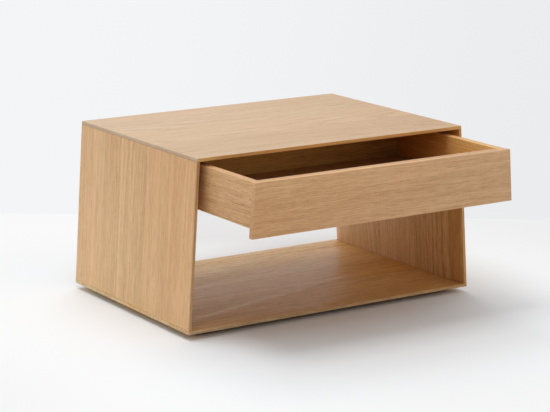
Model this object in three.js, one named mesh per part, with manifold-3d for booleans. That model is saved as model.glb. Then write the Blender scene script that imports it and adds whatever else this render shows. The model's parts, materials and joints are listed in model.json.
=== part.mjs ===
// Low oak bedside cabinet: a splayed carcass with one shallow drawer over an open
// compartment. The top board laps over the side boards, which stand on the floor board.
// Millimetres, +Z up, front towards -Y. The drawer stands part open, and the origin is on
// the floor at the middle of the whole outline in that position.
import * as THREE from 'three';
import { mergeVertices } from 'three/addons/utils/BufferGeometryUtils.js';
import Module from 'manifold-3d';

const wasm = await Module();
wasm.setup();

// ---------------------------------------------------------------- driving dimensions
const BASE_WIDTH = 600;        // across the outer faces at the underside of the carcass
const TOP_WIDTH = 559;         // across the outer faces at the top
const DEPTH = 420;
const CARCASS_HEIGHT = 306;
const PLINTH_HEIGHT = 11;      // floor to underside of the carcass
const PANEL = 13;              // top and side boards
const FLOOR_PANEL = 6.5;       // board under the open compartment
const TOP_EDGE = 6;            // board edges, thinned by the inner bevel; also the top's lap
const SIDE_EDGE = 5.2;
const FLOOR_EDGE = 5.3;
const BEVEL = 28;              // length of the bevel, front and back
const GAP = 0.3;               // between pieces that touch
const OPEN_AT_REST = 187;      // drawer travel out of its closed place
const TURNED_SIDES = 16;       // facets round a bumper
const SCREW_SIDES = 12;
const GLIDE_END_SIDES = 8;
const SAME_POINT = 1e-4;       // corners nearer than this are joined before a cut

const FRONT_THICK = 9.3;       // drawer front panel
const FRONT_INSET = 15.4;      // from the carcass outer face to the end of the front panel
const FRONT_HEIGHT = 93.2;
const FRONT_OVERHANG = 13.3;   // below the drawer box, as a finger pull
const TOP_CLEARANCE = 2.6;     // top board to drawer
const BOX_HALF_WIDTH = 262.5;  // outer face of a drawer side
const BOX_DEPTH = 334;
const BOX_SIDE = 14;
const BOX_END = 9.5;           // inner front and back of the drawer box
const BACK_SETBACK = 25;       // drawer back, forward of the ends of the drawer sides
const BOTTOM_THICK = 6;
const BOTTOM_RAISE = 13;       // drawer bottom above the lower edge of the box
const GROOVE = 5;              // depth of the groove that holds the drawer bottom

const BACK_RAIL_DROP = 98;     // height of the rail that closes the drawer space
const PLINTH_INSET = 25;
const PLINTH_RAIL = 12;
const PLINTH_MIDDLE = 20;
const GLIDE = { length: 40, radius: 4.5, thick: 1.2, x: 240 };
const TONGUE = { width: 9.4, thick: 2.8, half: 168 };
const BUMPER = { radius: 6, tip: 3.6, shoulder: 2.1, x: 255.5, drop: 30, clearance: 0.8 };
const CLIP = { x0: 205, x1: 228.4, length: 30, drop: 10, nose: 4, slope: 5 };

// Folded steel runners. Each start is measured back from the closed drawer's face.
const SHEET = 1.5;
const BEAM = 237;              // centre of the nested channels, from the middle
const RAIL = { length: 315, start: 24, flangeGap: 4, flange: 29, drop: 4.7, foot: 11, web: 5.5 };
const MIDDLE = { length: 240, start: 82, half: 3.4, low: 2.7, high: 3.2 };
const SLIDE = { length: 300, start: 26, half: 7.1, low: 0.5, high: GAP };
const BATTEN_BELOW = 3;        // batten beyond the rail's flange, below and above
const BATTEN_ABOVE = 4;

// Flat-headed screws and where they go.
const FRONT_SCREW = { length: 15.5, shank: 1.7, head: 3.6, x: [-200, -70, 70, 200], drop: 40 };
const SIDE_SCREW = { length: 28, shank: 1.7, head: 3.6, y: [-150, 0, 150], sunk: 0.1 };
const PLINTH_SCREW = { length: 13, shank: 1.6, head: 3.2 };
const PLINTH_SCREW_AT = [
  [-200, -179], [200, -179], [-200, 179], [200, 179], [0, -100], [0, 100],
];
const RUNNER_SCREW = { length: 13, shank: 1.4, head: 3, y: [-120, 120], rise: 21, proud: 0.2 };
const CLIP_SCREW = { length: 12.5, shank: 1.3, head: 2.8 };

// ---------------------------------------------------------------- levels and stations
const FLOOR_Z = PLINTH_HEIGHT;
const TOP_Z = PLINTH_HEIGHT + CARCASS_HEIGHT;
const UNDER_TOP = TOP_Z - PANEL;
const LAP_Z = TOP_Z - TOP_EDGE;               // underside of the top's lap over the sides
const SHELF_Z = FLOOR_Z + FLOOR_PANEL;
const FRONT_Y = -DEPTH / 2;
const BACK_Y = DEPTH / 2;
const CLOSED_Y = FRONT_Y + BEVEL;             // face of the closed drawer front
const BOX_Y = CLOSED_Y + FRONT_THICK + GAP;
const BOX_BACK_Y = BOX_Y + BOX_DEPTH;
const BOX_TOP = UNDER_TOP - TOP_CLEARANCE;
const FRONT_BOTTOM = BOX_TOP - FRONT_HEIGHT;
const BOX_BOTTOM = FRONT_BOTTOM + FRONT_OVERHANG;
const BOTTOM_Z = BOX_BOTTOM + BOTTOM_RAISE;   // underside of the drawer bottom
const BOX_INNER = BOX_HALF_WIDTH - BOX_SIDE;

// Half width of the carcass outer face at a height.
const outer = (z) => {
  const rise = (z - FLOOR_Z) / CARCASS_HEIGHT;
  return (BASE_WIDTH + (TOP_WIDTH - BASE_WIDTH) * rise) / 2;
};

// ---------------------------------------------------------------- finishes
const finish = (color, roughness, metalness) =>
  new THREE.MeshStandardMaterial({ color, roughness, metalness });
const oakTop = finish(0xd9bd98, 0.5, 0);
const oakSide = finish(0xcca376, 0.55, 0);
const oakFront = finish(0xb78f62, 0.55, 0);
const oakBox = finish(0xc09a6c, 0.6, 0);
const oakInside = finish(0x8a6238, 0.6, 0);
const oakDark = finish(0x4a3220, 0.7, 0);
const beech = finish(0xcfa878, 0.65, 0);
const steel = finish(0xb9bcc0, 0.35, 0.9);
const zinc = finish(0xc9c7bd, 0.3, 0.9);
const nylon = finish(0x6f7276, 0.5, 0);
const felt = finish(0x3b3632, 0.95, 0);
const silicone = finish(0xdfe3e4, 0.4, 0);

// ---------------------------------------------------------------- geometry helpers
const cabinet = new THREE.Group();
const carcass = new THREE.Group();
const drawer = new THREE.Group();
const slides = new THREE.Group();
// The carcass centre and the drawer face stand either side of the origin, so that the
// whole outline, with the drawer part open, is centred on it.
const reach = OPEN_AT_REST - BEVEL;
carcass.position.y = reach / 2;
drawer.position.y = reach / 2 - OPEN_AT_REST;
slides.position.y = reach / 2 - OPEN_AT_REST / 2;
cabinet.add(carcass, drawer, slides);

function place(group, name, geometry, material) {
  const mesh = new THREE.Mesh(geometry, material);
  mesh.name = name;
  group.add(mesh);
  return mesh;
}

// Box between two opposite corners.
function block(x0, x1, y0, y1, z0, z1) {
  const geometry = new THREE.BoxGeometry(Math.abs(x1 - x0), y1 - y0, z1 - z0);
  return geometry.translate((x0 + x1) / 2, (y0 + y1) / 2, (z0 + z1) / 2);
}

// Solid through convex sections, each a list of [x, y, z] with the same number of corners.
function loft(sections) {
  const count = sections[0].length;
  const positions = sections.flat(2);
  const faces = [];
  for (let s = 0; s < sections.length - 1; s += 1) {
    for (let i = 0; i < count; i += 1) {
      const a = s * count + i;
      const b = s * count + ((i + 1) % count);
      faces.push(a, b, a + count, b, b + count, a + count);
    }
  }
  const last = (sections.length - 1) * count;
  for (let i = 1; i < count - 1; i += 1) {
    faces.push(0, i + 1, i, last, last + i, last + i + 1);
  }
  const geometry = new THREE.BufferGeometry();
  geometry.setAttribute('position', new THREE.Float32BufferAttribute(positions, 3));
  geometry.setIndex(volume(positions, faces) < 0 ? faces.reverse() : faces);
  return geometry;
}

// Signed volume of an indexed triangle list.
function volume(positions, faces) {
  const corner = (i) => new THREE.Vector3(...positions.slice(3 * i, 3 * i + 3));
  let total = 0;
  for (let f = 0; f < faces.length; f += 3) {
    const [a, b, c] = [corner(faces[f]), corner(faces[f + 1]), corner(faces[f + 2])];
    total += a.dot(b.cross(c));
  }
  return total;
}

// Outline of [x, z] corners drawn along Y from y0 to y1.
function drawn(outline, y0, y1) {
  const shape = new THREE.Shape(outline.map(([x, z]) => new THREE.Vector2(x, z)));
  const geometry = new THREE.ExtrudeGeometry(shape, { depth: y1 - y0, bevelEnabled: false });
  return geometry.rotateX(Math.PI / 2).translate(0, y1, 0);
}

// Profile of [radius, height] turned about +Z.
function turned(profile, segments) {
  const points = profile.map(([r, h]) => new THREE.Vector2(r, h));
  return new THREE.LatheGeometry(points, segments).rotateX(Math.PI / 2);
}

function toSolid(geometry) {
  const bare = geometry.clone();
  bare.deleteAttribute('normal');
  bare.deleteAttribute('uv');
  const merged = mergeVertices(bare, SAME_POINT);
  const mesh = new wasm.Mesh({
    numProp: 3,
    vertProperties: new Float32Array(merged.attributes.position.array),
    triVerts: new Uint32Array(merged.index.array),
  });
  return new wasm.Manifold(mesh);
}

function cut(geometry, ...cutters) {
  let solid = toSolid(geometry);
  for (const cutter of cutters) {
    solid = solid.subtract(toSolid(cutter));
  }
  const mesh = solid.getMesh();
  const result = new THREE.BufferGeometry();
  result.setAttribute('position', new THREE.Float32BufferAttribute(mesh.vertProperties, 3));
  result.setIndex([...mesh.triVerts]);
  return result;
}

// Flat-headed screw with its tip towards +Z and its head top at the origin.
// With a margin it is the hole that the screw passes through.
function screw(length, shank, head, margin = 0) {
  const cone = head - shank;
  return turned([
    [0, -margin],
    [head + margin, -margin],
    [head + margin, margin],
    [shank + margin, cone + margin],
    [shank + margin, length + margin],
    [0, length + margin],
  ], SCREW_SIDES);
}

// Turns a geometry's +Z to a direction and moves it to a point.
function aim(geometry, direction, point) {
  const turn = new THREE.Quaternion();
  turn.setFromUnitVectors(new THREE.Vector3(0, 0, 1), new THREE.Vector3(...direction));
  return geometry.applyQuaternion(turn).translate(...point);
}

const SIDES = [['left', -1], ['right', 1]];
const ENDS = [['front', -1], ['back', 1]];

const UP = [0, 0, 1];
const FORWARD = [0, -1, 0];

function screwAt(kind, direction, point, margin = 0) {
  return aim(screw(kind.length, kind.shank, kind.head, margin), direction, point);
}

// ---------------------------------------------------------------- carcass boards
// Board levels and side thickness at a depth. They thin towards the front and back edges.
function frameAt(y) {
  const thin = Math.abs(y) === DEPTH / 2;
  return {
    y,
    top: TOP_Z - (thin ? TOP_EDGE : PANEL),
    shelf: FLOOR_Z + (thin ? FLOOR_EDGE : FLOOR_PANEL),
    side: thin ? SIDE_EDGE : PANEL,
  };
}
const STATIONS = [FRONT_Y, FRONT_Y + BEVEL, BACK_Y - BEVEL, BACK_Y].map(frameAt);

// Board across the whole width, between two levels that may change with the depth.
const crossBoard = (lowAt, highAt) => loft(STATIONS.map((station) => {
  const low = lowAt(station);
  const high = highAt(station);
  return [
    [-outer(high), station.y, high],
    [outer(high), station.y, high],
    [outer(low), station.y, low],
    [-outer(low), station.y, low],
  ];
}));

// Side board, from the floor board to the top's lap. With a margin it is the space that the
// top board leaves for it.
const sideBoard = (sign, margin = 0) => loft(STATIONS.map(({ y, shelf, side }) => {
  const low = shelf + GAP - margin;
  const high = LAP_Z - GAP + margin;
  return [
    [sign * (outer(high) + margin), y, high],
    [sign * (outer(low) + margin), y, low],
    [sign * (outer(low) - side - margin), y, low],
    [sign * (outer(high) - side - margin), y, high],
  ];
}));

// Loose tongue between the top board's shoulder and a side board.
function tongue(sign, margin = 0) {
  const z = (UNDER_TOP + LAP_Z) / 2;
  const x = sign * (outer(z) - PANEL);
  const half = TONGUE.width / 2 + margin;
  const rise = TONGUE.thick / 2 + margin;
  const end = TONGUE.half + margin;
  return block(x - half, x + half, -end, end, z - rise, z + rise);
}

// Screws up through the floor board into the end of a side board.
const sideScrews = (sign, margin = 0) => SIDE_SCREW.y.map((y) => {
  const at = [sign * (outer(FLOOR_Z) - PANEL / 2), y, FLOOR_Z + SIDE_SCREW.sunk];
  return screwAt(SIDE_SCREW, UP, at, margin);
});

// ---------------------------------------------------------------- drawer runners
const RUNNER_Y = CLOSED_Y + RAIL.start;
const RUNNER_END = RUNNER_Y + RAIL.length;
const FLANGE = BOX_HALF_WIDTH + RAIL.flangeGap;   // outer face of the cabinet rail
const FOOT_Z = BOX_BOTTOM - RAIL.drop;
const FLANGE_TOP = FOOT_Z + RAIL.flange;
const BATTEN_LOW = FOOT_Z - BATTEN_BELOW;
const BATTEN_HIGH = FLANGE_TOP + BATTEN_ABOVE;

// Flange against the batten, a foot, and a web that stands up inside the nested channels.
const cabinetRail = (sign) => {
  const floor = FOOT_Z + SHEET;
  const webTop = BOTTOM_Z - RAIL.web;
  return drawn([
    [FLANGE, FOOT_Z],
    [FLANGE, FLANGE_TOP],
    [FLANGE - SHEET, FLANGE_TOP],
    [FLANGE - SHEET, floor],
    [BEAM + SHEET / 2, floor],
    [BEAM + SHEET / 2, webTop],
    [BEAM - SHEET / 2, webTop],
    [BEAM - SHEET / 2, floor],
    [BEAM - RAIL.foot, floor],
    [BEAM - RAIL.foot, FOOT_Z],
  ].map(([x, z]) => [sign * x, z]), RUNNER_Y, RUNNER_END);
};

// Channel, open below, of a member's length and half width.
const channel = (sign, member, low, high) => drawn([
  [-member.half, low],
  [-member.half + SHEET, low],
  [-member.half + SHEET, high - SHEET],
  [member.half - SHEET, high - SHEET],
  [member.half - SHEET, low],
  [member.half, low],
  [member.half, high],
  [-member.half, high],
].map(([x, z]) => [sign * BEAM + x, z]), CLOSED_Y + member.start,
CLOSED_Y + member.start + member.length);

const runnerScrews = (sign, margin = 0) => RUNNER_SCREW.y.map((y) => {
  const x = sign * (FLANGE - SHEET - RUNNER_SCREW.proud);
  return screwAt(RUNNER_SCREW, [sign, 0, 0], [x, y, FOOT_Z + RUNNER_SCREW.rise], margin);
});

// ---------------------------------------------------------------- carcass
const lapCuts = SIDES.flatMap(([, sign]) => [sideBoard(sign, GAP), tongue(sign, GAP)]);
const topBoard = crossBoard(({ top }) => top, () => TOP_Z);
place(carcass, 'top_panel', cut(topBoard, ...lapCuts), oakTop);

const plinthScrews = (margin) => PLINTH_SCREW_AT.map(([x, y]) =>
  screwAt(PLINTH_SCREW, UP, [x, y, GLIDE.thick + GAP], margin));
const plinthHoles = plinthScrews(GAP / 2);
const sideHoles = SIDES.flatMap(([, sign]) => sideScrews(sign, GAP / 2));
const floorBoard = crossBoard(() => FLOOR_Z, ({ shelf }) => shelf);
place(carcass, 'bottom_panel', cut(floorBoard, ...plinthHoles, ...sideHoles), oakInside);

for (const [side, sign] of SIDES) {
  const runnerHoles = runnerScrews(sign, GAP);
  const board = cut(
    sideBoard(sign), tongue(sign, GAP), ...runnerHoles, ...sideScrews(sign, GAP / 2));
  place(carcass, `side_panel_${side}`, board, oakSide);
  place(carcass, `corner_tongue_${side}`, tongue(sign), beech);
  sideScrews(sign).forEach((fastener, i) => {
    place(carcass, `side_screw_${side}_${i + 1}`, fastener, zinc);
  });

  const batten = drawn([
    [sign * (FLANGE + GAP), BATTEN_LOW],
    [sign * (outer(BATTEN_LOW) - PANEL - GAP), BATTEN_LOW],
    [sign * (outer(BATTEN_HIGH) - PANEL - GAP), BATTEN_HIGH],
    [sign * (FLANGE + GAP), BATTEN_HIGH],
  ], RUNNER_Y, RUNNER_END);
  place(carcass, `runner_batten_${side}`, cut(batten, ...runnerHoles), beech);
  place(carcass, `runner_cabinet_${side}`, cut(cabinetRail(sign), ...runnerHoles), steel);
  runnerScrews(sign).forEach((fastener, i) => {
    place(carcass, `runner_screw_${side}_${ENDS[i][0]}`, fastener, zinc);
  });
}

const BACK_RAIL_Y = BACK_Y - BEVEL - PANEL;
const backRailEnd = (z) => outer(z) - PANEL - GAP;
const BACK_RAIL_LOW = UNDER_TOP - BACK_RAIL_DROP;
const BACK_RAIL_HIGH = UNDER_TOP - GAP;
const backRail = drawn([
  [-backRailEnd(BACK_RAIL_LOW), BACK_RAIL_LOW],
  [backRailEnd(BACK_RAIL_LOW), BACK_RAIL_LOW],
  [backRailEnd(BACK_RAIL_HIGH), BACK_RAIL_HIGH],
  [-backRailEnd(BACK_RAIL_HIGH), BACK_RAIL_HIGH],
], BACK_RAIL_Y, BACK_RAIL_Y + PANEL);
place(carcass, 'back_rail', backRail, oakSide);

// Silicone bumpers on the back rail, which stop the sides of the closed drawer.
const bumperLength = BACK_RAIL_Y - GAP - BOX_BACK_Y - BUMPER.clearance;
for (const [side, sign] of SIDES) {
  const pad = turned([
    [0, 0],
    [BUMPER.radius, 0],
    [BUMPER.radius, bumperLength - BUMPER.shoulder],
    [BUMPER.tip, bumperLength],
    [0, bumperLength],
  ], TURNED_SIDES);
  const at = [sign * BUMPER.x, BACK_RAIL_Y - GAP, BOX_TOP - BUMPER.drop];
  place(carcass, `bumper_${side}`, aim(pad, FORWARD, at), silicone);
}

// Plinth: four rails and a middle one under the floor board, on felt glides.
const PLINTH_X = BASE_WIDTH / 2 - PLINTH_INSET;
const PLINTH_Y = DEPTH / 2 - PLINTH_INSET;
const RAIL_END = PLINTH_Y - PLINTH_RAIL - GAP;
const plinthRail = (name, x0, x1, y0, y1) => {
  const rail = block(x0, x1, y0, y1, GLIDE.thick + GAP, FLOOR_Z - GAP);
  place(carcass, name, cut(rail, ...plinthHoles), oakDark);
};
const half = PLINTH_RAIL / 2;
for (const [end, sign] of ENDS) {
  const y = sign * (PLINTH_Y - half);
  plinthRail(`plinth_${end}`, -PLINTH_X, PLINTH_X, y - half, y + half);
}
for (const [side, sign] of SIDES) {
  const x = sign * (PLINTH_X - half);
  plinthRail(`plinth_${side}`, x - half, x + half, -RAIL_END, RAIL_END);
}
plinthRail('plinth_middle', -PLINTH_MIDDLE / 2, PLINTH_MIDDLE / 2, -RAIL_END, RAIL_END);
plinthScrews(0).forEach((fastener, i) => {
  place(carcass, `plinth_screw_${i + 1}`, fastener, zinc);
});

// Felt glide with round ends under a plinth corner.
function glide(x, y) {
  const straight = GLIDE.length / 2 - GLIDE.radius;
  const shape = new THREE.Shape();
  shape.absarc(straight, 0, GLIDE.radius, -Math.PI / 2, Math.PI / 2);
  shape.absarc(-straight, 0, GLIDE.radius, Math.PI / 2, 1.5 * Math.PI);
  const options = { depth: GLIDE.thick, bevelEnabled: false, curveSegments: GLIDE_END_SIDES };
  return new THREE.ExtrudeGeometry(shape, options).translate(x, y, 0);
}
for (const [end, along] of ENDS) {
  for (const [side, sign] of SIDES) {
    const pad = glide(sign * GLIDE.x, along * (PLINTH_Y - half));
    place(carcass, `glide_${end}_${side}`, pad, felt);
  }
}

// ---------------------------------------------------------------- runner middle members
for (const [side, sign] of SIDES) {
  const member = channel(sign, MIDDLE, FOOT_Z + MIDDLE.low, BOTTOM_Z - MIDDLE.high);
  place(slides, `runner_middle_${side}`, member, steel);
}

// ---------------------------------------------------------------- drawer
const frontEnd = (z) => outer(z) - FRONT_INSET;
const frontScrews = (margin) => FRONT_SCREW.x.map((x) =>
  screwAt(FRONT_SCREW, FORWARD, [x, BOX_Y + BOX_END, BOX_TOP - FRONT_SCREW.drop], margin));
const frontHoles = frontScrews(GAP / 2);
const frontBoard = drawn([
  [-frontEnd(FRONT_BOTTOM), FRONT_BOTTOM],
  [frontEnd(FRONT_BOTTOM), FRONT_BOTTOM],
  [frontEnd(BOX_TOP), BOX_TOP],
  [-frontEnd(BOX_TOP), BOX_TOP],
], CLOSED_Y, CLOSED_Y + FRONT_THICK);
place(drawer, 'drawer_front', cut(frontBoard, ...frontHoles), oakFront);
frontScrews(0).forEach((fastener, i) => {
  place(drawer, `front_screw_${i + 1}`, fastener, zinc);
});

const OVERRUN = 1;             // cutters reach past the face that they open
const grooveLow = BOTTOM_Z - GAP;
const grooveHigh = BOTTOM_Z + BOTTOM_THICK + GAP;
const grooveReach = BOX_INNER + GROOVE;
const endReach = BOX_INNER - GAP;
const boxFrontBack = BOX_Y + BOX_END;
const boxFront = block(-endReach, endReach, BOX_Y, boxFrontBack, BOX_BOTTOM, BOX_TOP);
const frontGroove = block(
  -grooveReach, grooveReach, boxFrontBack - GROOVE, boxFrontBack + OVERRUN,
  grooveLow, grooveHigh);
place(drawer, 'drawer_box_front', cut(boxFront, frontGroove, ...frontHoles), oakBox);

for (const [side, sign] of SIDES) {
  const inner = sign * BOX_INNER;
  const board = block(
    inner, sign * BOX_HALF_WIDTH, BOX_Y, BOX_BACK_Y, BOX_BOTTOM, BOX_TOP);
  const groove = block(
    inner - sign * OVERRUN, sign * grooveReach, BOX_Y - OVERRUN, BOX_BACK_Y + OVERRUN,
    grooveLow, grooveHigh);
  place(drawer, `drawer_side_${side}`, cut(board, groove), oakBox);
}

const backFace = BOX_BACK_Y - BACK_SETBACK;
const drawerBack = block(
  -endReach, endReach, backFace - BOX_END, backFace, grooveHigh, BOX_TOP);
place(drawer, 'drawer_back', drawerBack, oakBox);

const CLIP_Y = boxFrontBack + GAP;
const CLIP_HIGH = BOTTOM_Z - GAP;
const CLIP_LOW = CLIP_HIGH - CLIP.drop;
const clipScrew = (sign, margin = 0) => {
  const at = [sign * (CLIP.x0 + CLIP.x1) / 2, CLIP_Y + CLIP.length / 2, CLIP_LOW];
  return screwAt(CLIP_SCREW, UP, at, margin);
};
const clipHoles = SIDES.map(([, sign]) => clipScrew(sign, GAP / 2));
const bottomReach = grooveReach - GAP;
const bottomBoard = block(
  -bottomReach, bottomReach, CLIP_Y - GROOVE, BOX_BACK_Y, BOTTOM_Z, BOTTOM_Z + BOTTOM_THICK);
place(drawer, 'drawer_bottom', cut(bottomBoard, ...clipHoles), oakInside);

for (const [i, [side, sign]] of SIDES.entries()) {
  const member = channel(sign, SLIDE, BOX_BOTTOM - SLIDE.low, BOTTOM_Z - SLIDE.high);
  place(drawer, `runner_drawer_${side}`, member, steel);

  // Locking clip with a sloped nose towards the middle.
  const body = drawn([
    [sign * CLIP.x1, CLIP_LOW],
    [sign * CLIP.x1, CLIP_HIGH],
    [sign * CLIP.x0, CLIP_HIGH],
    [sign * CLIP.x0, CLIP_LOW + CLIP.slope],
    [sign * (CLIP.x0 + CLIP.nose), CLIP_LOW],
  ], CLIP_Y, CLIP_Y + CLIP.length);
  place(drawer, `locking_clip_${side}`, cut(body, clipHoles[i]), nylon);
  place(drawer, `clip_screw_${side}`, clipScrew(sign), zinc);
}

export default cabinet;
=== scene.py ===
"""Low oak bedside cabinet with one drawer: finishes, softened boards, camera and light."""

import json
import math

import bmesh
import bpy
from mathutils import Matrix, Vector


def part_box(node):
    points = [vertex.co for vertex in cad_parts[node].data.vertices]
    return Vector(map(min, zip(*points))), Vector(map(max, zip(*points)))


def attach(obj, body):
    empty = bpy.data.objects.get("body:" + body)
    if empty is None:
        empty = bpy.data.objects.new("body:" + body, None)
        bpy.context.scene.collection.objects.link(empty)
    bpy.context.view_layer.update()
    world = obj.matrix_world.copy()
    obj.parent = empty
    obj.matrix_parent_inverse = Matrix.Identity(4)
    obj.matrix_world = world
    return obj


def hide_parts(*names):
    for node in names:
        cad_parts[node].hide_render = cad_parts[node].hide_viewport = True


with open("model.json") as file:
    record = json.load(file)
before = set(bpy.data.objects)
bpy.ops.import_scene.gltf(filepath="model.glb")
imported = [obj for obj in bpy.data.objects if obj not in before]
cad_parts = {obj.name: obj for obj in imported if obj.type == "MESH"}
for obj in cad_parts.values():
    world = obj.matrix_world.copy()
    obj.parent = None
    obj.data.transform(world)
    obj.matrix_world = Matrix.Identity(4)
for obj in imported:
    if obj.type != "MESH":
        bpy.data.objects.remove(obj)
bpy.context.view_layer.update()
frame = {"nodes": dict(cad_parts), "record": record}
bodies = frame["record"]["behaviour"]["bodies"]
body_of_node = {node: body for body, members in bodies.items() for node in members}

MM = 0.001


# ---------------------------------------------------------------- node helpers
class Net:
    """Short names for adding and linking the nodes of one tree."""

    def __init__(self, tree):
        self.tree = tree

    def put(self, socket, value):
        if isinstance(value, bpy.types.NodeSocket):
            self.tree.links.new(value, socket)
        elif value is not None:
            socket.default_value = value

    def node(self, kind, inputs=None, **settings):
        made = self.tree.nodes.new("ShaderNode" + kind)
        for key, value in settings.items():
            setattr(made, key, value)
        for key, value in (inputs or {}).items():
            self.put(made.inputs[key], value)
        return made

    def math(self, operation, a, b=None, c=None):
        made = self.node("Math", operation=operation)
        for socket, value in zip(made.inputs, (a, b, c)):
            self.put(socket, value)
        return made.outputs[0]

    def vmath(self, operation, a, b=None):
        made = self.node("VectorMath", operation=operation)
        for socket, value in zip(made.inputs, (a, b)):
            self.put(socket, value)
        return made.outputs["Value" if operation in ("LENGTH", "DOT_PRODUCT") else "Vector"]

    def mix(self, factor, a, b, blend="MIX"):
        made = self.node("Mix", data_type="RGBA", blend_type=blend, clamp_factor=True)
        self.put(made.inputs["Factor"], factor)
        self.put(made.inputs["A"], a)
        self.put(made.inputs["B"], b)
        return made.outputs["Result"]

    def noise(self, vector, detail=2.0, roughness=0.5, distortion=0.0):
        sockets = {"Vector": vector, "Scale": 1.0, "Detail": detail, "Roughness": roughness,
                   "Distortion": distortion}
        return self.node("TexNoise", sockets).outputs["Fac"]

    def span(self, value, low, high, out_low=0.0, out_high=1.0, smooth=True):
        """Maps low..high to out_low..out_high and clamps."""
        made = self.node("MapRange", interpolation_type="SMOOTHSTEP" if smooth else "LINEAR")
        for socket, item in zip(made.inputs, (value, low, high, out_low, out_high)):
            self.put(socket, item)
        return made.outputs[0]

    def split(self, vector):
        return self.node("SeparateXYZ", {"Vector": vector}).outputs

    def join(self, x, y, z):
        return self.node("CombineXYZ", {"X": x, "Y": y, "Z": z}).outputs["Vector"]


def rgb(red, green, blue):
    """Linear colour from display values of 0 to 255."""
    def linear(value):
        value /= 255
        return value / 12.92 if value <= 0.04045 else ((value + 0.055) / 1.055) ** 2.4
    return (linear(red), linear(green), linear(blue), 1.0)


def material(name):
    made = bpy.data.materials.new(name)
    made.use_nodes = True
    net = Net(made.node_tree)
    made.node_tree.nodes.clear()
    shader = net.node("BsdfPrincipled")
    net.node("OutputMaterial", {"Surface": shader.outputs["BSDF"]})
    return made, net, shader.inputs


def in_mm(net):
    """Place on the object, in millimetres."""
    made = net.node("VectorMath", operation="SCALE")
    net.put(made.inputs[0], net.node("TexCoord").outputs["Object"])
    made.inputs["Scale"].default_value = 1 / MM
    return made.outputs[0]


# ---------------------------------------------------------------- wood
RING_WIDTH, DRIFT, CROOK = 2.7, 7.0, 1.9     # mm: a year's growth, and how far it wanders
SLANT_WAVE = 0.0047                    # radians per mm along the board
STAVE_SHIFT, SEED_SHIFT = 900.0, 370.0       # mm along the tree


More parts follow.
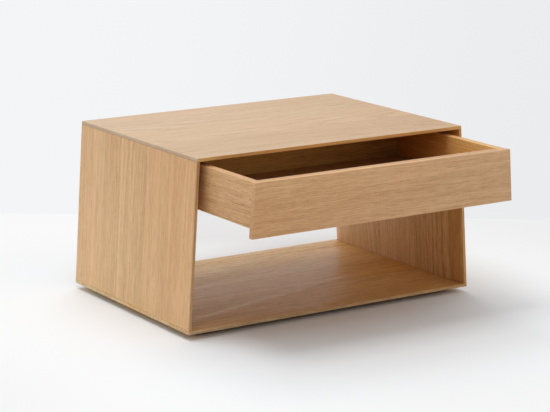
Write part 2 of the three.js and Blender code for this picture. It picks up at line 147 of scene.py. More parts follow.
def wood_group():
    """Grain of a sawn board, in millimetres along its length, across its width and through it.
    The board is cut from a tree whose pith runs beside it, so all its faces agree."""
    tree = bpy.data.node_groups.new("sawn_grain", "ShaderNodeTree")
    sockets = tree.interface
    sockets.new_socket("Place", in_out="INPUT", socket_type="NodeSocketVector")
    for name in ("Seed", "Stave", "Start", "Aside", "Deep", "Tilt"):
        sockets.new_socket(name, in_out="INPUT", socket_type="NodeSocketFloat")
    for name in ("Stave", "Hue", "Tone", "Rings", "Pores", "Fibre", "Fleck", "Streak", "Rays", "Glue"):
        sockets.new_socket(name, in_out="OUTPUT", socket_type="NodeSocketFloat")
    net = Net(tree)
    given = tree.nodes.new("NodeGroupInput").outputs
    result = tree.nodes.new("NodeGroupOutput").inputs

    # Staves are glued edge to edge, each from another part of the tree.
    along, across, through = net.split(given["Place"])[:3]
    width = given["Stave"]
    stave_at = net.math("DIVIDE", net.math("SUBTRACT", across, given["Start"]), width)
    stave = net.math("FLOOR", stave_at)
    draw = net.node("TexWhiteNoise", noise_dimensions="2D")
    net.put(draw.inputs["Vector"], net.join(stave, given["Seed"], 0.0))
    first, second, third = net.split(draw.outputs["Color"])[:3]
    net.put(result["Stave"], first)
    net.put(result["Hue"], second)
    edge = net.math("MULTIPLY", net.math("PINGPONG", stave_at, 0.5), width)
    net.put(result["Glue"], net.span(edge, 0.05, 0.35, 1.0, 0.0))

    shift = net.math("MULTIPLY", given["Seed"], SEED_SHIFT)
    shift = net.math("MULTIPLY_ADD", first, STAVE_SHIFT, shift)
    along = net.math("ADD", along, shift)
    place = net.join(along, net.math("ADD", across, shift), through)

    # Growth rings, about a pith aside from the stave and at a slant to its length.
    middle = net.math("MULTIPLY", net.math("ADD", stave, 0.5), width)
    local = net.math("SUBTRACT", net.math("SUBTRACT", across, given["Start"]), middle)
    side = net.math("MULTIPLY", given["Aside"], net.math("MULTIPLY_ADD", third, 1.2, 0.4))
    local = net.math("ADD", local, side)
    slant = net.math("SINE", net.math("MULTIPLY", along, SLANT_WAVE))
    slant = net.math("MULTIPLY", slant, given["Tilt"])
    depth = net.math("ADD", net.math("ADD", through, slant), given["Deep"])
    radius = net.vmath("LENGTH", net.join(local, depth, 0.0))
    drift = net.noise(net.vmath("MULTIPLY", place, (0.003, 0.016, 0.016)), detail=2.0)
    radius = net.math("MULTIPLY_ADD", drift, DRIFT, radius)
    crook = net.noise(net.vmath("MULTIPLY", place, (0.02, 0.09, 0.09)), detail=3.0)
    radius = net.math("MULTIPLY_ADD", crook, CROOK, radius)
    ring_at = net.math("DIVIDE", radius, RING_WIDTH)
    weight = net.node("TexWhiteNoise", {"W": net.math("FLOOR", ring_at)}, noise_dimensions="1D")
    phase = net.math("FRACT", ring_at)
    early = net.math("SUBTRACT", 1.0, net.span(phase, 0.05, 0.55))
    rings = net.math("MAXIMUM", early, net.span(phase, 0.82, 1.0))
    rings = net.math("MULTIPLY", rings, net.span(weight.outputs["Value"], 0, 1, 0.35, 1.0))
    net.put(result["Rings"], rings)

    # Open pores: fine dark dashes, crowded in the early wood and in patches.
    pore = net.noise(net.vmath("MULTIPLY", place, (0.13, 2.2, 2.2)), detail=1.5, roughness=0.4)
    patch = net.noise(net.vmath("MULTIPLY", place, (0.035, 0.42, 0.42)), detail=2.0)
    level = net.math("MULTIPLY_ADD", rings, -0.10, 0.76)
    level = net.math("MULTIPLY_ADD", patch, -0.22, level)
    net.put(result["Pores"], net.span(pore, level, net.math("ADD", level, 0.06)))

    fibre = net.noise(net.vmath("MULTIPLY", place, (0.011, 0.75, 0.75)), detail=4.0, roughness=0.6)
    net.put(result["Fibre"], net.span(fibre, 0.28, 0.72, smooth=False))
    fleck = net.noise(net.vmath("MULTIPLY", place, (0.036, 0.55, 0.55)), detail=3.5, roughness=0.75)
    net.put(result["Fleck"], net.span(fleck, 0.33, 0.67, smooth=False))
    streak = net.noise(net.vmath("MULTIPLY", place, (0.0042, 0.17, 0.17)), detail=3.0, roughness=0.6)
    net.put(result["Streak"], net.span(streak, 0.28, 0.72, smooth=False))
    tone = net.noise(net.vmath("MULTIPLY", place, (0.0018, 0.03, 0.03)), detail=2.0)
    net.put(result["Tone"], net.span(tone, 0.28, 0.72, smooth=False))
    # Rays: short spindles that lie along the grain and show a little darker.
    ray = net.noise(net.vmath("MULTIPLY", place, (0.055, 1.25, 0.5)), detail=1.0)
    net.put(result["Rays"], net.span(ray, 0.64, 0.72))
    return tree


WOOD_GRAIN = wood_group()
GRAIN_AXES = {
    # grain and face normal: the axes along, across and through the board
    "X on Z": (0, 1, 2), "X on Y": (0, 2, 1), "Z on X": (2, 1, 0), "Y on X": (1, 2, 0),
    "Y on Z": (1, 0, 2),
}
OAK = {
    "dark": (174, 125, 74), "light": (235, 194, 143), "pink": (224, 163, 112),
    "pore": (118, 76, 41), "rough": 0.50, "coat": 0.0, "shine": 0.30, "rings": 0.16, "fibre": 0.28,
    "fleck": 0.38, "streak": 0.30, "tone": 0.16, "stave": 0.26, "pores": 0.22, "rays": 0.12,
    "edge": (1.0, 1.0, 1.0),
}
# The top's edge tint is painted warm bounce light on its front and back edges.
OAK_TOP = dict(OAK, light=(220, 194, 159), dark=(167, 133, 96), pink=(211, 171, 136), shine=0.4,
               rough=0.44, coat=0.08, rings=0.26, fleck=0.34, stave=0.20, edge=(1.15, 0.93, 0.48))
OAK_SIDE = dict(OAK, light=(244, 205, 152), dark=(185, 136, 83), pink=(236, 176, 124), shine=0.45,
                rings=0.08, stave=0.34, tone=0.16, streak=0.26, fleck=0.46, edge=(0.82, 0.80, 0.78))
OAK_SHELF = dict(OAK, light=(249, 218, 163), dark=(183, 139, 83), pink=(238, 187, 128), shine=0.36,
                 rough=0.41, rings=0.26, stave=0.40, fleck=0.85, streak=0.52, fibre=0.44,
                 pores=0.35, edge=(0.82, 0.90, 1.12))
OAK_RIGHT = dict(OAK, light=(238, 204, 158), dark=(176, 134, 88), pink=(226, 175, 128), shine=0.15,
                 rings=0.36, pores=0.6, fleck=0.6, streak=0.40)
OAK_FRONT = dict(OAK, light=(233, 194, 150), dark=(172, 125, 78), pink=(222, 163, 118), fleck=0.44,
                 fibre=0.36, pores=0.3)
OAK_DRAWER = dict(OAK, light=(224, 184, 135), dark=(160, 113, 66), pink=(211, 152, 103), pores=0.65,
                  fleck=0.70, fibre=0.50, rings=0.30)
# A more orange copy of the drawer oak for the drawer's inside faces: painted warm bounce light.
OAK_INSIDE_BOUNCE = dict(OAK, light=(233, 184, 116), dark=(158, 105, 48), pink=(218, 150, 88), shine=0.15,
                  pores=0.5, rings=0.34)
# Darker again for the drawer back: painted shade.
OAK_BACK_SHADED = dict(OAK_INSIDE_BOUNCE, light=(228, 190, 116), dark=(128, 86, 28), pink=(208, 156, 84))
OAK_UNDER = dict(OAK_INSIDE_BOUNCE, light=(230, 189, 133), dark=(157, 112, 62), pink=(216, 160, 106))
BEECH = dict(OAK, dark=(186, 142, 99), light=(224, 185, 143), pink=(214, 166, 132), rough=0.58,
             rings=0.12, pores=0.15, rays=0.45)
# Dark-toned oak for the plinth rails.
DARK_OAK = dict(OAK, dark=(52, 36, 25), light=(84, 61, 43), pink=(70, 46, 34),
               pore=(26, 18, 12), rough=0.62)


HUE_SHARE, GLUE_SHARE, END_SHARE = 0.30, 0.18, 0.9
FACING = (0.70, 0.92)                  # share of the normal along an axis, from none to all
END_TINT = (0.94, 0.99, 1.10, 1.0)
# Yellow for painted coloured light, and for the yellower wood of some strips.
WOOD_AND_LIGHT_YELLOW = (1.0, 0.6, 0.0, 1.0)
BAND_BLUR = 1.5                        # mm either side of a band's edge
# What each thing adds to the roughness of the wood.
SMEAR_ROUGH, FIBRE_ROUGH, PORE_ROUGH, END_ROUGH = 0.10, -0.05, 0.2, 0.2
COAT_ROUGH = 0.25


def wood(name, kind, grain, seed, stave=2000.0, start=-1000.0, aside=70.0, deep=60.0, tilt=12.0,
         lean=0.0, painted_light_slope=(0.0, 0.0, 0.0), wood_and_light_bands=(), painted_tint_slope=(0.0, 0.0, 0.0), worn=0.0):
    """Wood for one board. lean follows a board whose face isn't upright. fade is painted light and
    shade: an even change of tone over the board, per metre along, per metre across, and at 0.
    warm is painted coloured light, the same for how yellow it is. bands are strips, partly of
    other wood and partly painted light and shade: middle and half width in mm, and how much paler
    and yellower they are. worn is for an arris."""
    made, net, out = material(name)
    scaled = in_mm(net)
    axes = net.split(scaled)
    order = GRAIN_AXES[grain]
    along, across, through = [axes[i] for i in order]
    through = net.math("MULTIPLY_ADD", along, lean, through)
    group = net.node("Group", node_tree=WOOD_GRAIN)
    for key, value in {"Place": net.join(along, across, through), "Seed": seed, "Stave": stave,
                       "Start": start, "Aside": aside, "Deep": deep, "Tilt": tilt}.items():
        net.put(group.inputs[key], value)
    found = group.outputs

    shade = net.math("MULTIPLY_ADD", found["Fibre"], kind["fibre"], 0.5 - kind["fibre"] / 2)
    for layer in ("Fleck", "Streak", "Tone", "Stave"):
        share = kind[layer.lower()]
        shade = net.math("MULTIPLY_ADD", found[layer], share, net.math("SUBTRACT", shade, share / 2))
    shade = net.math("MULTIPLY_ADD", found["Rings"], -kind["rings"],
                     net.math("ADD", shade, kind["rings"] / 3))
    # Painted light and shade: an even slope of tone along and across the board.
    shade = net.math("MULTIPLY_ADD", along, painted_light_slope[0] * MM, net.math("ADD", shade, painted_light_slope[2]))
    shade = net.math("MULTIPLY_ADD", across, painted_light_slope[1] * MM, shade)
    # Painted coloured light: an even slope of yellow tint along and across the board.
    wood_and_light_tint = net.math("MULTIPLY_ADD", along, painted_tint_slope[0] * MM, painted_tint_slope[2])
    wood_and_light_tint = net.math("MULTIPLY_ADD", across, painted_tint_slope[1] * MM, wood_and_light_tint)
    # Strips across the board: some are other wood, some are painted light and shade.
    for middle, half, change, yellow in wood_and_light_bands:
        off = net.math("ABSOLUTE", net.math("SUBTRACT", across, middle))
        strip = net.span(off, half - BAND_BLUR, half + BAND_BLUR, 1.0, 0.0)
        shade = net.math("MULTIPLY_ADD", strip, change, shade)
        wood_and_light_tint = net.math("MULTIPLY_ADD", strip, yellow, wood_and_light_tint)
    colour = net.mix(shade, rgb(*kind["dark"]), rgb(*kind["light"]))
    colour = net.mix(net.math("MULTIPLY", found["Hue"], HUE_SHARE), colour, rgb(*kind["pink"]))
    colour = net.mix(net.math("MULTIPLY", found["Rays"], kind["rays"]), colour, rgb(*kind["dark"]))
    colour = net.mix(net.math("MULTIPLY", found["Pores"], kind["pores"]), colour, rgb(*kind["pore"]))
    colour = net.mix(net.math("MULTIPLY", found["Glue"], GLUE_SHARE), colour, rgb(*kind["pore"]))
    # Cut ends drink the oil, so they are greyer and duller.
    normal = net.split(net.node("TexCoord").outputs["Normal"])
    end = net.span(net.math("ABSOLUTE", normal[order[0]]), *FACING)
    colour = net.mix(net.math("MULTIPLY", end, END_SHARE), colour, END_TINT, "MULTIPLY")
    # Narrow faces take the kind's edge tint: on the top it is painted warm bounce light; on some others it
    # darkens or cools them.
    narrow = net.span(net.math("ABSOLUTE", normal[order[1]]), *FACING)
    colour = net.mix(narrow, colour, (*kind["edge"], 1.0), "MULTIPLY")
    if worn:
        colour = net.mix(worn, colour, rgb(*kind["light"]))
    # The yellow tint: painted coloured light, and the yellower wood of some strips.
    colour = net.mix(wood_and_light_tint, colour, WOOD_AND_LIGHT_YELLOW, "MULTIPLY")
    net.put(out["Base Color"], colour)
    smear = net.noise(net.vmath("MULTIPLY", scaled, (0.011, 0.011, 0.011)), detail=3.0)
    rough = net.math("MULTIPLY_ADD", smear, SMEAR_ROUGH, kind["rough"] - SMEAR_ROUGH / 2)
    rough = net.math("MULTIPLY_ADD", found["Fibre"], FIBRE_ROUGH, rough)
    rough = net.math("MULTIPLY_ADD", found["Pores"], PORE_ROUGH, rough)
    rough = net.math("MULTIPLY_ADD", end, END_ROUGH, rough)
    net.put(out["Roughness"], rough)
    out["Specular IOR Level"].default_value = kind["shine"]
    out["Coat Weight"].default_value = kind["coat"]
    out["Coat Roughness"].default_value = COAT_ROUGH
    height = net.math("MULTIPLY_ADD", found["Pores"], -1.0, net.math("MULTIPLY", found["Fibre"], 0.3))
    bump = net.node("Bump", {"Height": height, "Strength": 0.8, "Distance": 0.06 * MM})
    net.put(out["Normal"], bump.outputs["Normal"])
    return made


# ---------------------------------------------------------------- softened boards
SAME_POINT, CRUMB = 0.002, 0.003        # mm
ONE_PLANE, ARRIS = math.radians(0.4), math.radians(25)


def soften(node, finish, arris, radius=0.6):
    """Copy of a CAD board with eased arrises, which carries the finish and stands for the node."""
    mesh = frame["nodes"][node].data.copy()
    work = bmesh.new()
    work.from_mesh(mesh)
    bmesh.ops.remove_doubles(work, verts=work.verts, dist=SAME_POINT * MM)
    bmesh.ops.dissolve_limit(work, angle_limit=ONE_PLANE, verts=work.verts, edges=work.edges)
    work.to_mesh(mesh)
    work.free()
    mesh.materials.clear()
    mesh.materials.append(finish)
    mesh.materials.append(arris)
    piece = bpy.data.objects.new(f"eased_{node}", mesh)
    bpy.context.scene.collection.objects.link(piece)
    for polygon in mesh.polygons:
        polygon.use_smooth = True
        polygon.material_index = 0
    bevel = piece.modifiers.new("arris", "BEVEL")
    bevel.width = radius * MM
    bevel.segments = 3
    bevel.limit_method = "ANGLE"
    bevel.angle_limit = ARRIS
    bevel.harden_normals = True
    bevel.material = 1
    # The rims of the screw holes leave faces of no area, which close up here.
    weld = piece.modifiers.new("weld", "WELD")
    weld.merge_threshold = CRUMB * MM
    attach(piece, body_of_node[node])
    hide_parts(node)


LEAN = 20.5 / 306                      # mm that a side leans in, over its height
SIDE = {"stave": 84.0, "start": -43.0, "aside": 190.0, "deep": 12.0, "tilt": 2.0}
PANEL = {"stave": 112.0, "start": 14.0, "aside": 90.0, "deep": 40.0, "tilt": 6.0}
BOARDS = [
    # node, record slot, kind, grain, seed, and how the tree was cut with the board's painted light and
    # shade
    # Painted coloured light: the top is yellower towards the right.
    ("top_panel", "oak", OAK_TOP, "X on Z", 3.1, dict(PANEL, painted_tint_slope=(0.5, 0.0, 0.105))),
    # Painted light: the shelf is lighter towards the back and yellower towards the right.
    ("bottom_panel", "oak", OAK_SHELF, "X on Z", 5.7,
     {"stave": 122.0, "start": 54.0, "aside": 150.0, "deep": 14.0, "tilt": 2.0,
      "painted_light_slope": (0.0, 0.9, -0.055), "painted_tint_slope": (0.7, 0.1, 0.19),
      "wood_and_light_bands": ((78, 60, 0.10, 0.0), (55, 52, 0.0, 0.24), (-15, 30, 0.06, 0.0),
                (45, 5, -0.22, 0.0))}),
    # Painted light and shade: the left side is darker towards the front and the top.
    ("side_panel_left", "oak", OAK_SIDE, "Z on X", 1.3,
     dict(SIDE, lean=-LEAN, painted_light_slope=(-1.0, 1.0, 0.084),
          wood_and_light_bands=((123, 11, 0.16, 0.0), (80, 24, 0.06, 0.0), (222, 24, 0.09, 0.0),
                 (230, 7, 0.10, 0.0), (-70, 16, -0.12, 0.0)))),
    # Painted light: the right side is lighter towards the back, yellower towards the top and front.
    ("side_panel_right", "oak", OAK_RIGHT, "Z on X", 8.9,
     {"stave": 113.0, "start": -100.0, "aside": 70.0, "deep": 24.0, "tilt": 5.0, "lean": LEAN,
      "painted_light_slope": (0.0, 1.6, -0.02), "painted_tint_slope": (0.6, -1.0, 0.15),
      "wood_and_light_bands": ((120, 50, 0.10, 0.0), (-113, 14, -0.42, 0.12))}),
    ("back_rail", "oak", OAK, "X on Y", 2.2, {}),
    # Painted light: the drawer front is lighter towards the top and a little towards the right.
    ("drawer_front", "oak", OAK_FRONT, "X on Y", 6.4,
     {"aside": 130.0, "deep": 20.0, "tilt": 4.0, "painted_light_slope": (0.15, 2.2, -0.56), "painted_tint_slope": (-0.3, 0.0, 0.08)}),
    ("drawer_box_front", "oak_drawer", OAK_DRAWER, "X on Y", 4.8, {}),
    # Painted shade: the drawer back darkens towards the right.
    ("drawer_back", "oak_drawer", OAK_BACK_SHADED, "X on Y", 9.3,
     {"aside": 20.0, "deep": 30.0, "tilt": 16.0, "painted_light_slope": (-2.2, 0.0, 0.15)}),
    ("drawer_side_left", "oak_drawer", OAK_DRAWER, "Y on X", 7.5, {"aside": 110.0, "tilt": 3.0}),
    # Painted light and shade: lighter towards the front, where the top's shade ends; yellower behind.
    ("drawer_side_right", "oak_drawer", dict(OAK_INSIDE_BOUNCE, edge=(1.0, 1.03, 1.3)), "Y on X", 0.7,
     {"aside": 110.0, "tilt": 3.0, "painted_light_slope": (-1.6, 0.0, -0.08), "painted_tint_slope": (2.5, 0.0, 0.5)}),
    ("drawer_bottom", "oak_drawer", OAK_UNDER, "X on Z", 11.6, PANEL),
]
for node, slot, kind, grain, seed, cut in BOARDS:
    face = wood(f"oak_{node}", kind, grain, seed, **cut)
    edge = wood(f"oak_{node}_arris", kind, grain, seed, worn=0.35, **cut)
    soften(node, face, edge)


# ---------------------------------------------------------------- small timber parts
def dress(node, finish):
    """Puts a finish on a CAD node that stays as it is."""
    for item in frame["nodes"][node].material_slots:
        item.material = finish


SIDES = ("left", "right")
SMALL_TIMBER = [
    ("plinth_front", DARK_OAK, "X on Y"), ("plinth_back", DARK_OAK, "X on Y"),
    ("plinth_left", DARK_OAK, "Y on X"), ("plinth_right", DARK_OAK, "Y on X"),
    ("plinth_middle", DARK_OAK, "Y on X"),
    ("corner_tongue_left", BEECH, "Y on Z"), ("corner_tongue_right", BEECH, "Y on Z"),
    ("runner_batten_left", BEECH, "Y on X"), ("runner_batten_right", BEECH, "Y on X"),
]
for seed, (node, kind, grain) in enumerate(SMALL_TIMBER, start=20):
    slot = "oak_stained" if kind is DARK_OAK else "beech"
    face = wood(f"{slot}_{node}", kind, grain, seed, aside=90.0)
    edge = wood(f"{slot}_{node}_arris", kind, grain, seed, aside=90.0, worn=0.4)
    soften(node, face, edge, radius=0.4)


# ---------------------------------------------------------------- metal, plastic and felt
def edge_mask(net, radius):
    """0 on flat faces, rising to 1 on the outer edges, with the rounded normal for the bump."""
    rounded = net.node("Bevel", {"Radius": radius * MM}, samples=4).outputs["Normal"]
    flat = net.node("NewGeometry").outputs["Normal"]
    return net.span(net.vmath("DOT_PRODUCT", rounded, flat), 0.995, 0.86, 0.0, 1.0), rounded


def metal(name, tint, worn, rough, streak_axes, cell=5.0):
    """Zinc-plated steel: crystals, rolling marks, fine scratches and bright rubbed edges."""
    made, net, out = material(name)
    place = in_mm(net)
    spangle = net.node("TexVoronoi", {"Vector": place, "Scale": 1 / cell}).outputs["Color"]
    spangle = net.split(spangle)[0]
    rolled = net.noise(net.vmath("MULTIPLY", place, streak_axes), detail=4.0, roughness=0.65)
    scratch = net.noise(net.vmath("MULTIPLY", place, tuple(5 * k for k in streak_axes)), detail=1.0)
    scratch = net.span(scratch, 0.66, 0.72)
    stain = net.noise(net.vmath("MULTIPLY", place, (0.05, 0.05, 0.05)), detail=4.0)
    stain = net.span(stain, 0.55, 0.78)
    edge, rounded = edge_mask(net, 0.35)
    colour = net.mix(net.math("MULTIPLY", spangle, 0.5), rgb(*tint), rgb(*worn))
    colour = net.mix(net.math("MULTIPLY", stain, 0.35), colour, rgb(112, 106, 96))
    colour = net.mix(net.math("MAXIMUM", edge, net.math("MULTIPLY", scratch, 0.6)), colour, rgb(*worn))
    net.put(out["Base Color"], colour)
    level = net.math("MULTIPLY_ADD", rolled, 0.22, rough - 0.11)
    level = net.math("MULTIPLY_ADD", spangle, 0.08, level)
    level = net.math("MULTIPLY_ADD", stain, 0.16, level)
    net.put(out["Roughness"], net.math("MULTIPLY_ADD", edge, -0.10, level))
    out["Metallic"].default_value = 1.0
    height = net.math("SUBTRACT", rolled, scratch)
    bump = net.node("Bump", {"Height": height, "Strength": 0.5, "Distance": 0.02 * MM, "Normal": rounded})
    net.put(out["Normal"], bump.outputs["Normal"])
    return made


def moulded(name, low, high, rough, clear=0.0):
    """Moulded plastic or rubber: flow marks, a sparked grain, dust and paler rubbed edges."""
    made, net, out = material(name)
    place = in_mm(net)
    flow = net.noise(net.vmath("MULTIPLY", place, (0.25, 0.08, 0.25)), detail=3.0, distortion=0.8)
    grain = net.noise(net.vmath("MULTIPLY", place, (6.0, 6.0, 6.0)), detail=2.0)
    dust = net.span(net.noise(net.vmath("MULTIPLY", place, (1.6, 1.6, 1.6)), detail=5.0), 0.56, 0.70)
    edge, rounded = edge_mask(net, 0.4)
    colour = net.mix(flow, rgb(*low), rgb(*high))
    colour = net.mix(net.math("MULTIPLY", edge, 0.5), colour, rgb(*[min(255, v + 30) for v in high]))
    colour = net.mix(net.math("MULTIPLY", dust, 0.3), colour, rgb(176, 168, 156))
    net.put(out["Base Color"], colour)
    level = net.math("MULTIPLY_ADD", grain, 0.16, rough - 0.08)
    net.put(out["Roughness"], net.math("MULTIPLY_ADD", dust, 0.25, level))
    out["Subsurface Weight"].default_value = 0.25
    out["Subsurface Radius"].default_value = (0.8 * MM, 0.8 * MM, 0.8 * MM)
    out["Subsurface Scale"].default_value = 1.0
    out["Transmission Weight"].default_value = clear
    bump = net.node("Bump", {"Height": grain, "Strength": 0.5, "Distance": 0.03 * MM, "Normal": rounded})
    net.put(out["Normal"], bump.outputs["Normal"])
    return made


def felted(name, low, high):
    """Pressed wool: crossing fibres, small clumps, grey lint and a soft sheen."""
    made, net, out = material(name)
    place = in_mm(net)
    one = net.noise(net.vmath("MULTIPLY", place, (7.0, 1.2, 7.0)), detail=3.0, distortion=1.5)
    two = net.noise(net.vmath("MULTIPLY", place, (1.2, 7.0, 7.0)), detail=3.0, distortion=1.5)
    fibre = net.math("MAXIMUM", one, two)
    clump = net.noise(net.vmath("MULTIPLY", place, (0.7, 0.7, 0.7)), detail=4.0)
    lint = net.span(net.noise(net.vmath("MULTIPLY", place, (2.4, 0.6, 2.4)), distortion=2.0), 0.66, 0.70)
    shade = net.math("MULTIPLY_ADD", clump, 0.5, net.math("SUBTRACT", fibre, 0.3))
    colour = net.mix(shade, rgb(*low), rgb(*high))
    net.put(out["Base Color"], net.mix(net.math("MULTIPLY", lint, 0.5), colour, rgb(150, 145, 138)))
    net.put(out["Roughness"], net.math("MULTIPLY_ADD", fibre, 0.1, 0.86))
    out["Sheen Weight"].default_value = 0.4
    out["Sheen Roughness"].default_value = 0.5
    bump = net.node("Bump", {"Height": shade, "Strength": 1.0, "Distance": 0.25 * MM})
    net.put(out["Normal"], bump.outputs["Normal"])
    return made


runner_steel = metal("runner_steel", (168, 171, 174), (214, 216, 217), 0.34, (1.6, 0.03, 1.6))
plated = metal("zinc_screw", (176, 174, 164), (222, 220, 212), 0.30, (2.0, 2.0, 2.0), cell=1.5)
nylon = moulded("clip_nylon", (96, 99, 103), (118, 121, 125), 0.46)
silicone = moulded("silicone", (214, 220, 222), (232, 236, 236), 0.36, clear=0.45)
felt = felted("felt", (48, 42, 37), (92, 83, 74))
for side in SIDES:
    for member in ("runner_cabinet", "runner_middle", "runner_drawer"):
        dress(f"{member}_{side}", runner_steel)
    dress(f"locking_clip_{side}", nylon)
    dress(f"bumper_{side}", silicone)
    for end in ("front", "back"):
        dress(f"glide_{end}_{side}", felt)


# ---------------------------------------------------------------- screws
ROUND = 24                             # corners in a turn, two to each corner of the recess
RINGS_PER_TURN = 6                     # of the thread


def ring(work, radius, height):
    """Circle of corners; the radius may be a function of the turn, 0 to 1."""
    made = []
    for i in range(ROUND):
        turn = i / ROUND
        r = radius(turn) if callable(radius) else radius
        made.append(work.verts.new((r * math.cos(math.tau * turn), r * math.sin(math.tau * turn), height)))
    return made


def skin(work, low, high):
    count = len(low)
    for i in range(count):
        j = (i + 1) % count
        work.faces.new((low[i], low[j], high[j], high[i]))


def cross(work, reach, half, height):
    """Twelve corners of a cross, in order round it."""
    corners = [(reach, -half), (reach, half), (half, half)]
    made = []
    for quarter in range(4):
        c, s = ((1, 0), (0, 1), (-1, 0), (0, -1))[quarter]
        for x, y in corners:
            made.append(work.verts.new((c * x - s * y, s * x + c * y, height)))
    return made


def screw_mesh(name, length, shank, head, pitch):
    """Countersunk screw in mm with its head at 0 and its tip towards +Z: a cross recess, a cone
    under the head, a plain neck, a rolled thread and a point."""
    work = bmesh.new()
    recess, mouth, deep = 0.56 * head, 0.17 * head, 0.62 * head
    top = cross(work, recess, mouth, 0.04)
    floor_of_recess = cross(work, 0.6 * recess, 0.6 * mouth, deep)
    skin(work, top, floor_of_recess)
    work.faces.new(floor_of_recess)
    previous = ring(work, head * 0.96, 0.0)
    for i, corner in enumerate(top):
        # Each corner of the recess meets every other corner of the rim.
        following = top[(i + 1) % len(top)]
        work.faces.new((previous[2 * i - 1], previous[2 * i], corner))
        work.faces.new((previous[2 * i], previous[2 * i + 1], following, corner))
    for radius, height in ((head, 0.12), (head, 0.3), (shank * 0.94, head - shank)):
        loop = ring(work, radius, height)
        skin(work, previous, loop)
        previous = loop
    neck = head - shank + 1.0
    tip = length - 2.0 * shank
    steps = int((length - neck) / pitch * RINGS_PER_TURN)
    for i in range(steps + 1):
        height = neck + (length - neck) * i / steps
        taper = min(1.0, max(0.06, (length - height) / (length - tip)))

        def threaded(turn, height=height, taper=taper):
            wave = abs(((height / pitch - turn) % 1.0) * 2 - 1)
            crest = max(0.0, (wave - 0.45) / 0.55) * 0.28 * shank
            return taper * (0.72 * shank + crest)

        loop = ring(work, threaded, height)
        skin(work, previous, loop)
        previous = loop
    work.faces.new(previous)
    bmesh.ops.recalc_face_normals(work, faces=work.faces)
    made = bpy.data.meshes.new(name)
    work.to_mesh(made)
    work.free()
    made.materials.append(plated)
    for polygon in made.polygons:
        polygon.use_smooth = True
    return made


DOWN_FROM_HEAD = {
    # name of the group: the way the tip points, shank radius and pitch of the thread, in mm
    "front_screw": ((0, -1, 0), 1.7, 1.5), "side_screw": ((0, 0, 1), 1.7, 1.5),
    "plinth_screw": ((0, 0, 1), 1.6, 1.4), "clip_screw": ((0, 0, 1), 1.3, 1.1),
    "runner_screw": (None, 1.4, 1.2),
}
for node in body_of_node:
    group = "_".join(node.split("_")[:2])
    if group not in DOWN_FROM_HEAD:
        continue
    way, shank, pitch = DOWN_FROM_HEAD[group]
    low, high = [Vector(corner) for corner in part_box(node)]
    middle = (low + high) / 2
    way = Vector(way) if way else Vector((math.copysign(1.0, middle.x), 0, 0))
    half = (high - low) / 2
    length = 2 * abs(half.dot(way))
    head = max(half[i] for i in range(3) if abs(way[i]) < 0.5)
    mesh = screw_mesh(f"cut_{node}", length / MM, shank, head / MM, pitch)
    piece = bpy.data.objects.new(f"threaded_{node}", mesh)
    bpy.context.scene.collection.objects.link(piece)
    turn = way.to_track_quat("Z", "Y").to_matrix().to_4x4()
    spin = Matrix.Rotation(len(node) * 0.7 + middle.y * 40, 4, "Z")
    mesh.transform(Matrix.Translation(middle - way * length / 2) @ turn @ spin @ Matrix.Scale(MM, 4))
    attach(piece, body_of_node[node])
    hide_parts(node)


# ---------------------------------------------------------------- camera
CAMERA_AT = (-1.991, -3.0375, 1.000)
HEADING, DIP, ROLL = math.radians(32.7), math.radians(12.78), math.radians(-0.03)

camera = bpy.data.objects.new("camera", bpy.data.cameras.new("camera"))
bpy.context.scene.collection.objects.link(camera)
bpy.context.scene.camera = camera
camera.data.lens, camera.data.sensor_width = 133.82, 36.0
camera.data.clip_start = 0.1
camera.data.clip_end = 100.0
looking = Vector((math.sin(HEADING) * math.cos(DIP), math.cos(HEADING) * math.cos(DIP), -math.sin(DIP)))
turn = looking.to_track_quat("-Z", "Y").to_matrix() @ Matrix.Rotation(ROLL, 3, "Z")
camera.matrix_world = Matrix.Translation(CAMERA_AT) @ turn.to_4x4()


# ---------------------------------------------------------------- floor and light
FLOOR_HALF = 40.0
WALL_AT, WALL_HEADING = 0.67, math.radians(35.6)
SHADE = rgb(226, 226, 227)

scene = bpy.context.scene
scene.view_settings.view_transform = "Standard"

mesh = bpy.data.meshes.new("floor")
mesh.from_pydata([(-FLOOR_HALF, -FLOOR_HALF, 0), (FLOOR_HALF, -FLOOR_HALF, 0),
                  (FLOOR_HALF, FLOOR_HALF, 0), (-FLOOR_HALF, FLOOR_HALF, 0)], [], [(0, 1, 2, 3)])
floor = bpy.data.objects.new("floor", mesh)
scene.collection.objects.link(floor)
finish, net, out = material("white_floor")
place = net.node("TexCoord").outputs["Object"]
grit = net.noise(net.vmath("MULTIPLY", place, (260.0, 260.0, 260.0)), detail=2.0)
cloud = net.noise(net.vmath("MULTIPLY", place, (1.1, 1.1, 1.1)), detail=3.0)
net.put(out["Roughness"], net.math("MULTIPLY_ADD", cloud, 0.2, 0.7))
bump = net.node("Bump", {"Height": grit, "Strength": 0.2, "Distance": 0.05 * MM})
net.put(out["Normal"], bump.outputs["Normal"])
# Far from the cabinet the floor glows evenly, and beyond WALL_AT it has the tone of a wall.
right, onward = net.split(place)[:2]
reach = net.math("ADD", net.math("MULTIPLY", right, math.sin(WALL_HEADING)),
                 net.math("MULTIPLY", onward, math.cos(WALL_HEADING)))
sideways = net.math("SUBTRACT", net.math("MULTIPLY", right, math.cos(WALL_HEADING)),
                    net.math("MULTIPLY", onward, math.sin(WALL_HEADING)))
away = net.math("ADD", net.math("ABSOLUTE", reach), 3.6)
aside = net.span(net.math("DIVIDE", sideways, away), -0.14, 0.14)
wall = net.span(reach, WALL_AT - 0.01, WALL_AT + 0.01)
tone = net.mix(wall, net.mix(aside, rgb(247, 248, 248), rgb(240, 241, 242)),
               net.mix(aside, rgb(244, 245, 246), rgb(235, 236, 237)))
glow = net.math("MAXIMUM", wall, net.span(net.vmath("LENGTH", place), 0.6, 1.5))
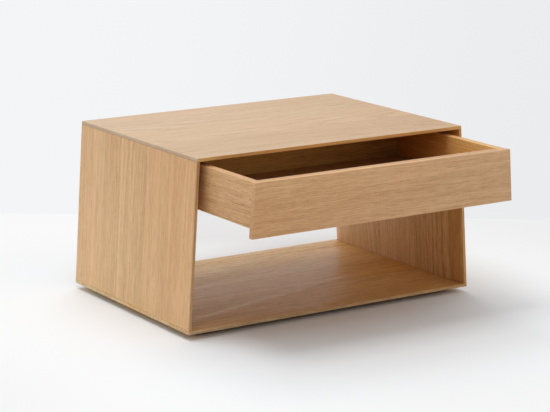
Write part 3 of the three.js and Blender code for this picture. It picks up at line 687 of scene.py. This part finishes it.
# The paint evens out what the lamps leave uneven.
before = net.mix(net.span(sideways, -0.45, -0.15), rgb(240, 241, 242), rgb(248, 249, 250))
farther = net.mix(net.span(sideways, -0.1, 0.4), rgb(247, 247, 248), rgb(239, 240, 241))
paint = net.mix(net.span(reach, 0.1, 0.55), before, farther)
# Close to the oak the paint is a little cooler, against the warm light the oak sends down.
nearby = net.span(net.vmath("LENGTH", place), 0.45, 0.75, 0.5, 0.0)
paint = net.mix(nearby, paint, rgb(243, 248, 252))
# A soft grey patch is painted behind the cabinet, in place of a shade that the lamps don't cast.
patch = net.math("MULTIPLY", net.span(reach, 0.30, 0.50), net.span(reach, 1.0, 1.6, 1.0, 0.0))
off = net.math("ABSOLUTE", net.math("ADD", sideways, 0.02))
patch = net.math("MULTIPLY", patch, net.span(off, 0.24, 0.38, 1.0, 0.0))
shaded = net.math("MULTIPLY", patch, 0.85)
tone = net.mix(shaded, tone, SHADE)
net.put(out["Base Color"], net.mix(shaded, paint, SHADE))
lamp = net.node("Emission", {"Color": tone, "Strength": 1.0})
blend = net.node("MixShader", {"Fac": glow})
net.put(blend.inputs[1], finish.node_tree.nodes["Principled BSDF"].outputs["BSDF"])
net.put(blend.inputs[2], lamp.outputs["Emission"])
net.put(finish.node_tree.nodes["Material Output"].inputs["Surface"], blend.outputs["Shader"])
mesh.materials.append(finish)

world = bpy.data.worlds.new("studio")
scene.world = world
world.use_nodes = True
net = Net(world.node_tree)
background = world.node_tree.nodes["Background"]
background.inputs["Color"].default_value = (1, 1, 1, 1)
# The world is brightest behind the cabinet and overhead, dimmer before it and dim on the left.
aside, onward, upward = net.split(net.node("TexCoord").outputs["Generated"])[:3]
level = net.math("MULTIPLY", net.math("POWER", net.math("MAXIMUM", upward, 0.0), 2.0), 0.877)
for share, side_light in ((0.095, net.math("MULTIPLY", aside, -1.0)), (0.908, onward),
                          (0.426, net.math("MULTIPLY", onward, -1.0))):
    level = net.math("MULTIPLY_ADD", net.math("MAXIMUM", side_light, 0.0), share, level)
net.put(background.inputs["Strength"], level)


def area_light(name, place, target, size, power):
    light = bpy.data.lights.new(name, "AREA")
    light.shape = "RECTANGLE"
    light.size, light.size_y = size
    light.energy = power
    made = bpy.data.objects.new(name, light)
    scene.collection.objects.link(made)
    made.location = place
    made.rotation_euler = (Vector(target) - Vector(place)).to_track_quat("-Z", "Y").to_euler()
    made.visible_camera = False


AIM = (-0.02, 0.0, 0.2)
area_light("overhead_front", (-0.6, -0.1, 2.2), AIM, (0.8, 0.8), 12.6)
area_light("overhead_back", (0.2, 0.9, 2.2), AIM, (0.8, 0.8), 6.1)
area_light("low_left", (-3.0, 0.6, 0.5), (0, 0.08, 0.1), (2.2, 0.9), 2.6)
area_light("front_right", (2.2, -2.2, 1.0), (0, 0, 0.2), (1.8, 1.6), 3.2)
